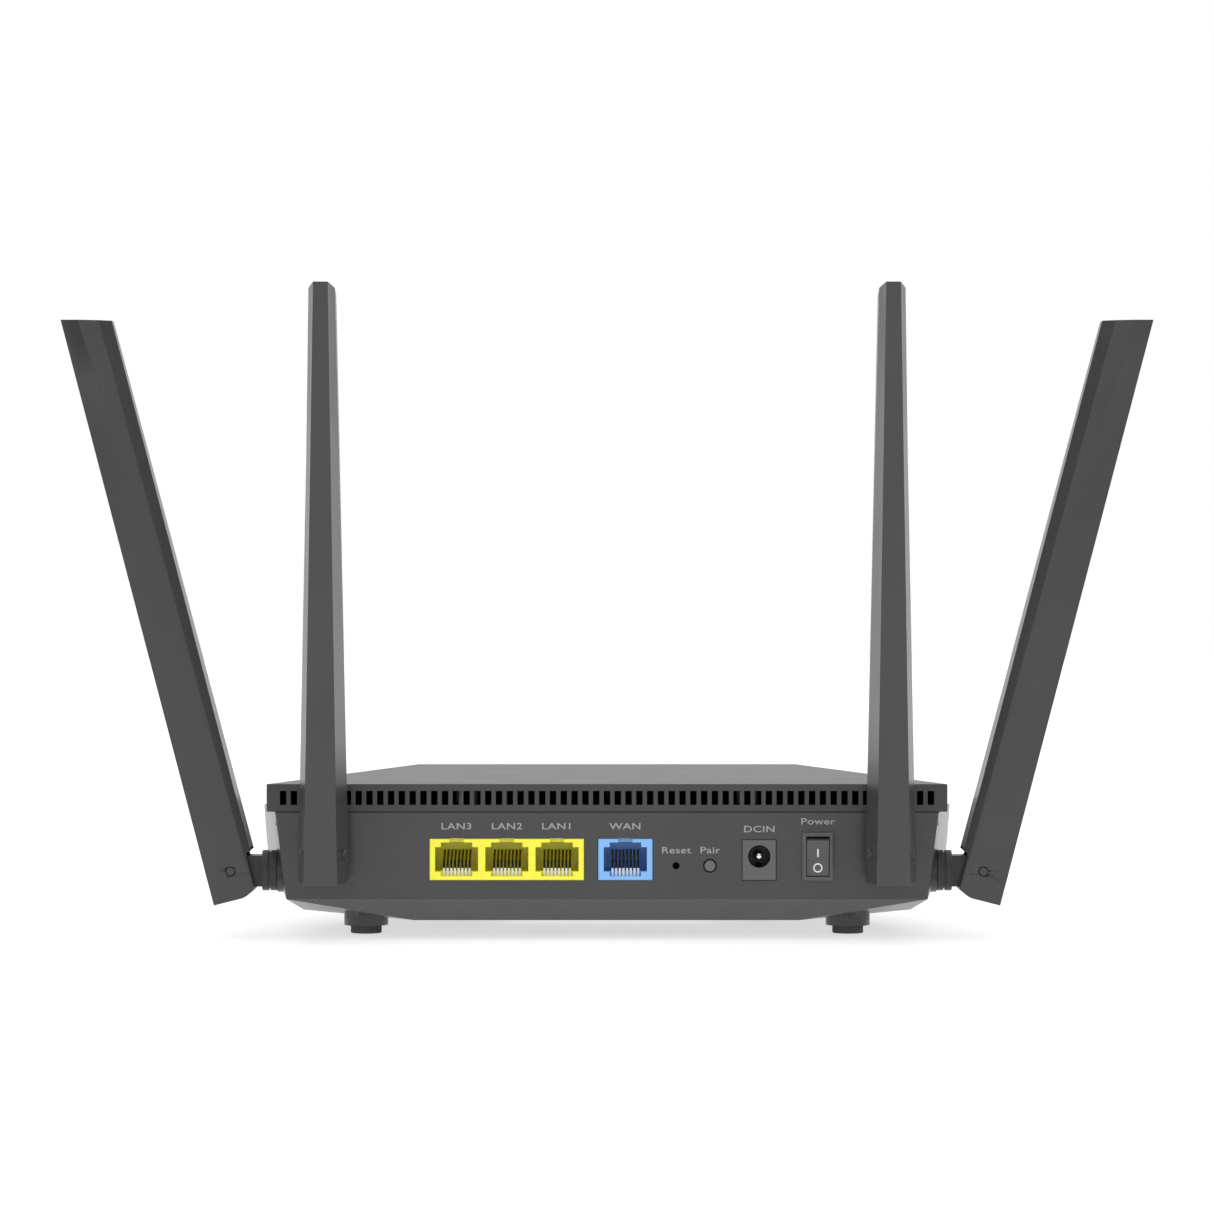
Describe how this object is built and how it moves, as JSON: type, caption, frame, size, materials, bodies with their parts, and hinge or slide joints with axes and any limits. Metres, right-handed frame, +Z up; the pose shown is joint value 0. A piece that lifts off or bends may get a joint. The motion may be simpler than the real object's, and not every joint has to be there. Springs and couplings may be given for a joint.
{
  "type": "wireless router",
  "caption": "Desktop wireless router with a faceted flat case, blade antennas that swivel and tilt, network sockets, a barrel power inlet, a rocker switch and push buttons.",
  "frame": {"origin": "on the table, under the middle of the whole object's box", "axes": "+X to the right when facing the ports, ports face -Y, +Z up"},
  "size_m": [0.3064, 0.166, 0.1813],
  "materials": {
    "cover_plastic": "fine moulded texture, satin",
    "case_plastic": "fine moulded texture, matt",
    "antenna_plastic": "fine moulded texture, satin",
    "foot_rubber": "matt",
    "yellow_plastic": "satin",
    "blue_plastic": "satin",
    "gold_contact": "bright",
    "jack_plastic": "matt",
    "switch_plastic": "satin",
    "button_plastic": "satin",
    "tact_plastic": "matt",
    "nickel": "bright",
    "screw_steel": "zinc plated",
    "board_laminate": "solder mask, satin",
    "aerial_laminate": "solder mask, satin",
    "chip_plastic": "matt",
    "heatsink_aluminium": "anodised",
    "thermal_silicone": "soft",
    "shield_tin": "tin plated",
    "capacitor_can": "satin",
    "led_lens": "clear",
    "guide_acrylic": "clear, polished",
    "lead_jacket": "smooth",
    "label_film": "silver print film"
  },
  "bodies": {
    "case": {"board_screws": "screw_steel", "bottom_case": "case_plastic", "capacitors": "capacitor_can", "case_screws": "screw_steel", "foot_pads": "foot_rubber", "heatsink": "heatsink_aluminium", "heatsink_pins": "jack_plastic", "lan_contacts": "gold_contact", "lan_jack_block": "yellow_plastic", "lead_plugs": "nickel", "lead_rear_left": "lead_jacket", "lead_rear_right": "lead_jacket", "lead_side_left": "lead_jacket", "lead_side_right": "lead_jacket", "light_guide": "guide_acrylic", "main_board": "board_laminate", "memory_chips": "chip_plastic", "network_transformers": "chip_plastic", "pairing_switch": "tact_plastic", "power_inductors": "chip_plastic", "power_jack": "jack_plastic", "power_jack_pin": "nickel", "power_jack_spring": "nickel", "processor": "chip_plastic", "rating_label": "label_film", "reset_switch": "tact_plastic", "shield_cans": "shield_tin", "status_leds": "led_lens", "switch_housing": "switch_plastic", "switch_terminals": "nickel", "swivel_clips": "screw_steel", "thermal_pad": "thermal_silicone", "top_cover": "cover_plastic", "wan_contacts": "gold_contact", "wan_jack": "blue_plastic"},
    "rocker": {"switch_rocker": "switch_plastic"},
    "pairing_key": {"pairing_button": "button_plastic", "pairing_plunger": "tact_plastic"},
    "reset_key": {"reset_plunger": "tact_plastic"},
    "knuckle_rear_left": {"swivel_rear_left": "antenna_plastic"},
    "antenna_rear_left": {"blade_rear_left": "antenna_plastic", "hinge_pin_rear_left": "antenna_plastic", "aerial_board_rear_left": "aerial_laminate"},
    "knuckle_rear_right": {"swivel_rear_right": "antenna_plastic"},
    "antenna_rear_right": {"blade_rear_right": "antenna_plastic", "hinge_pin_rear_right": "antenna_plastic", "aerial_board_rear_right": "aerial_laminate"},
    "knuckle_side_left": {"swivel_side_left": "antenna_plastic"},
    "antenna_side_left": {"blade_side_left": "antenna_plastic", "hinge_pin_side_left": "antenna_plastic", "aerial_board_side_left": "aerial_laminate"},
    "knuckle_side_right": {"swivel_side_right": "antenna_plastic"},
    "antenna_side_right": {"blade_side_right": "antenna_plastic", "hinge_pin_side_right": "antenna_plastic", "aerial_board_side_right": "aerial_laminate"}
  },
  "joints": [
    {"name": "rear_left_swivel", "type": "hinge", "parent": "case", "child": "knuckle_rear_left", "pos_m": [-0.0782, -0.0759, 0.0246], "axis": [0, 1, 0], "range_deg": [-90, 60]},
    {"name": "rear_left_tilt", "type": "hinge", "parent": "knuckle_rear_left", "child": "antenna_rear_left", "pos_m": [-0.0782, -0.0759, 0.0246], "axis": [1, 0, 0], "range_deg": [0, 90]},
    {"name": "rear_right_swivel", "type": "hinge", "parent": "case", "child": "knuckle_rear_right", "pos_m": [0.0782, -0.0759, 0.0246], "axis": [0, 1, 0], "range_deg": [-60, 90]},
    {"name": "rear_right_tilt", "type": "hinge", "parent": "knuckle_rear_right", "child": "antenna_rear_right", "pos_m": [0.0782, -0.0759, 0.0246], "axis": [1, 0, 0], "range_deg": [0, 90]},
    {"name": "side_left_swivel", "type": "hinge", "parent": "case", "child": "knuckle_side_left", "pos_m": [-0.1052, -0.051, 0.0186], "axis": [1, 0, 0], "range_deg": [-90, 90]},
    {"name": "side_left_tilt", "type": "hinge", "parent": "knuckle_side_left", "child": "antenna_side_left", "pos_m": [-0.1052, -0.051, 0.0186], "axis": [0, -1, 0], "range_deg": [-12.5, 75.24]},
    {"name": "side_right_swivel", "type": "hinge", "parent": "case", "child": "knuckle_side_right", "pos_m": [0.1052, -0.051, 0.0186], "axis": [1, 0, 0], "range_deg": [-90, 90]},
    {"name": "side_right_tilt", "type": "hinge", "parent": "knuckle_side_right", "child": "antenna_side_right", "pos_m": [0.1052, -0.051, 0.0186], "axis": [0, 1, 0], "range_deg": [-12.5, 75.24]},
    {"name": "power_rocker", "type": "hinge", "parent": "case", "child": "rocker", "pos_m": [0.05855, -0.061, 0.0232], "axis": [-1, 0, 0], "range_deg": [0, 14]},
    {"name": "pairing_press", "type": "slide", "parent": "case", "child": "pairing_key", "axis": [0, 1, 0], "range_m": [0, 0.0005], "stiffness_N_per_m": 800, "springref_m": -0.0002},
    {"name": "reset_press", "type": "slide", "parent": "case", "child": "reset_key", "axis": [0, 1, 0], "range_m": [0, 0.0004], "stiffness_N_per_m": 800, "springref_m": -0.0002}
  ]
}
